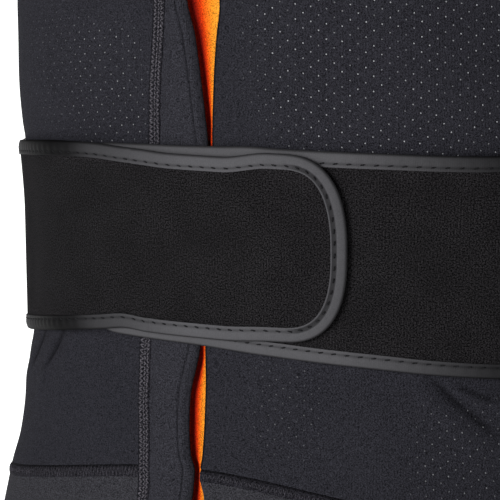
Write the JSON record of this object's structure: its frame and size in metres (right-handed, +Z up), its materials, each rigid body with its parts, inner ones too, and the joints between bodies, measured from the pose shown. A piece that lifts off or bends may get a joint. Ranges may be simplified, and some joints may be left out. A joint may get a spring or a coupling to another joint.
{
  "type": "protective vest",
  "caption": "Sleeveless stretch vest with a padded back, a front slit over a guard strip, an arched hem band and a wide waist belt whose two bound wings cross at the front.",
  "frame": {"origin": "midway between the two shoulder straps, level with the middle of each strap's inner face, where the wearer's shoulders hold it up", "axes": "+Z up, -Y out of the front, +X towards the wearer's left"},
  "size_m": [0.346, 0.2551, 0.5891],
  "materials": {
    "stretch_cloth": "matt knitted jersey",
    "band_cloth": "matt knitted jersey",
    "guard_cloth": "fine woven twill",
    "loop_cloth": "short dense loop pile",
    "binding_tape": "smooth folded tape with a slight sheen"
  },
  "bodies": {
    "root": {"left_front_panel": "stretch_cloth", "right_front_panel": "stretch_cloth", "placket": "stretch_cloth", "back_panel": "stretch_cloth", "left_hem_band": "band_cloth", "right_hem_band": "band_cloth", "back_hem_band": "band_cloth", "zip_guard": "guard_cloth", "under_wing": "loop_cloth", "top_wing": "loop_cloth", "under_wing_binding": "binding_tape", "top_wing_binding": "binding_tape"}
  },
  "joints": []
}
